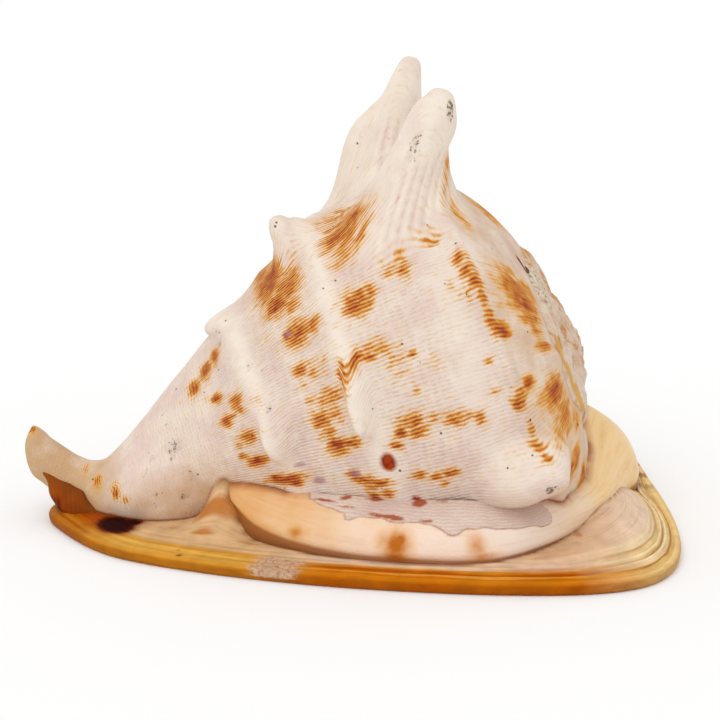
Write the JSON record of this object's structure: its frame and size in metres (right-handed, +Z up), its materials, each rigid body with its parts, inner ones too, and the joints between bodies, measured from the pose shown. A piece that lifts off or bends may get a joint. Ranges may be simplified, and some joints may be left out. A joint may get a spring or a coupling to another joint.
{
  "type": "horned helmet shell",
  "caption": "Large horned sea snail shell lying mouth down on its flat toothed base, with tall shoulder horns, low knobs, an upturned canal and a broad striped rim.",
  "frame": {"origin": "centre of the bounding box in plan, on the plane of the flat face that the shell rests on", "axes": "+X from the canal towards the spire, +Y from the shield side towards the outer lip side, +Z up from the rest face"},
  "size_m": [0.2309, 0.1864, 0.1619],
  "materials": {
    "shell": "pale cream shell with orange-brown patches, matt on the back and smooth and glossy on the base"
  },
  "bodies": {
    "root": {"shell": "shell"}
  },
  "joints": []
}
